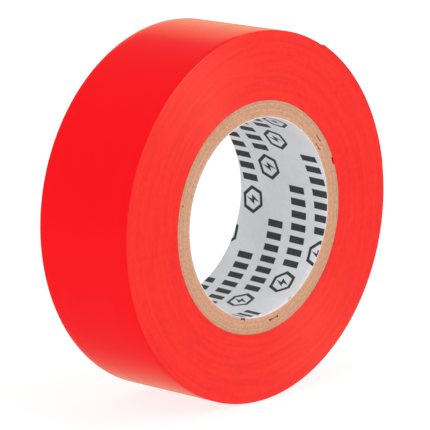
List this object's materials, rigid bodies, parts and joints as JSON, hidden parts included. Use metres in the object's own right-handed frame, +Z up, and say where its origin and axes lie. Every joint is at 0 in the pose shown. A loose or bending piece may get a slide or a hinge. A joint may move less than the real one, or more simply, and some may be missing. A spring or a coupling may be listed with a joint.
{
  "type": "electrical tape roll",
  "caption": "Roll of PVC insulating tape wound on a spiral-wound paper core, with a tail that peels off the rim.",
  "frame": {"origin": "centre of the core's bore, midway between the two side faces", "axes": "+Y along the roll's axis, +Z up as the roll stands on its rim, +X to the side that carries the tape's cut edge"},
  "size_m": [0.0595, 0.019, 0.0593],
  "materials": {
    "printed_liner": "satin",
    "kraft_board": "matte",
    "red_pvc": "satin",
    "tape_adhesive": "satin"
  },
  "bodies": {
    "roll": {"core_liner": "printed_liner", "core_ply_1": "kraft_board", "core_ply_2": "kraft_board", "core_ply_3": "kraft_board", "core_ply_4": "kraft_board", "core_ply_5": "kraft_board", "core_ply_6": "kraft_board", "tape_first_turn": "red_pvc", "tape_windings": "red_pvc", "tape_last_turn": "red_pvc"},
    "tail_1": {"tail_backing_1": "red_pvc", "tail_adhesive_1": "tape_adhesive"},
    "tail_2": {"tail_backing_2": "red_pvc", "tail_adhesive_2": "tape_adhesive"},
    "tail_3": {"tail_backing_3": "red_pvc", "tail_adhesive_3": "tape_adhesive"},
    "tail_4": {"tail_backing_4": "red_pvc", "tail_adhesive_4": "tape_adhesive"},
    "tail_5": {"tail_backing_5": "red_pvc", "tail_adhesive_5": "tape_adhesive"},
    "tail_6": {"tail_backing_6": "red_pvc", "tail_adhesive_6": "tape_adhesive"}
  },
  "joints": [
    {"name": "tail_peel", "type": "hinge", "parent": "roll", "child": "tail_1", "pos_m": [0.02911, 0, 0.00622], "axis": [0, 1, 0], "range_deg": [0, 36]},
    {"name": "tail_curl_2", "type": "hinge", "parent": "tail_1", "child": "tail_2", "pos_m": [0.02796, 0, 0.01021], "axis": [0, 1, 0], "range_deg": [0, 21.6]},
    {"name": "tail_curl_3", "type": "hinge", "parent": "tail_2", "child": "tail_3", "pos_m": [0.02628, 0, 0.014], "axis": [0, 1, 0], "range_deg": [0, 21.6]},
    {"name": "tail_curl_4", "type": "hinge", "parent": "tail_3", "child": "tail_4", "pos_m": [0.02408, 0, 0.01752], "axis": [0, 1, 0], "range_deg": [0, 21.6]},
    {"name": "tail_curl_5", "type": "hinge", "parent": "tail_4", "child": "tail_5", "pos_m": [0.02141, 0, 0.02069], "axis": [0, 1, 0], "range_deg": [0, 21.6]},
    {"name": "tail_curl_6", "type": "hinge", "parent": "tail_5", "child": "tail_6", "pos_m": [0.01833, 0, 0.02347], "axis": [0, 1, 0], "range_deg": [0, 21.6]}
  ],
  "couplings": [
    {"joint": "tail_curl_2", "follows": "tail_peel", "ratio": 0.6},
    {"joint": "tail_curl_3", "follows": "tail_peel", "ratio": 0.6},
    {"joint": "tail_curl_4", "follows": "tail_peel", "ratio": 0.6},
    {"joint": "tail_curl_5", "follows": "tail_peel", "ratio": 0.6},
    {"joint": "tail_curl_6", "follows": "tail_peel", "ratio": 0.6}
  ]
}
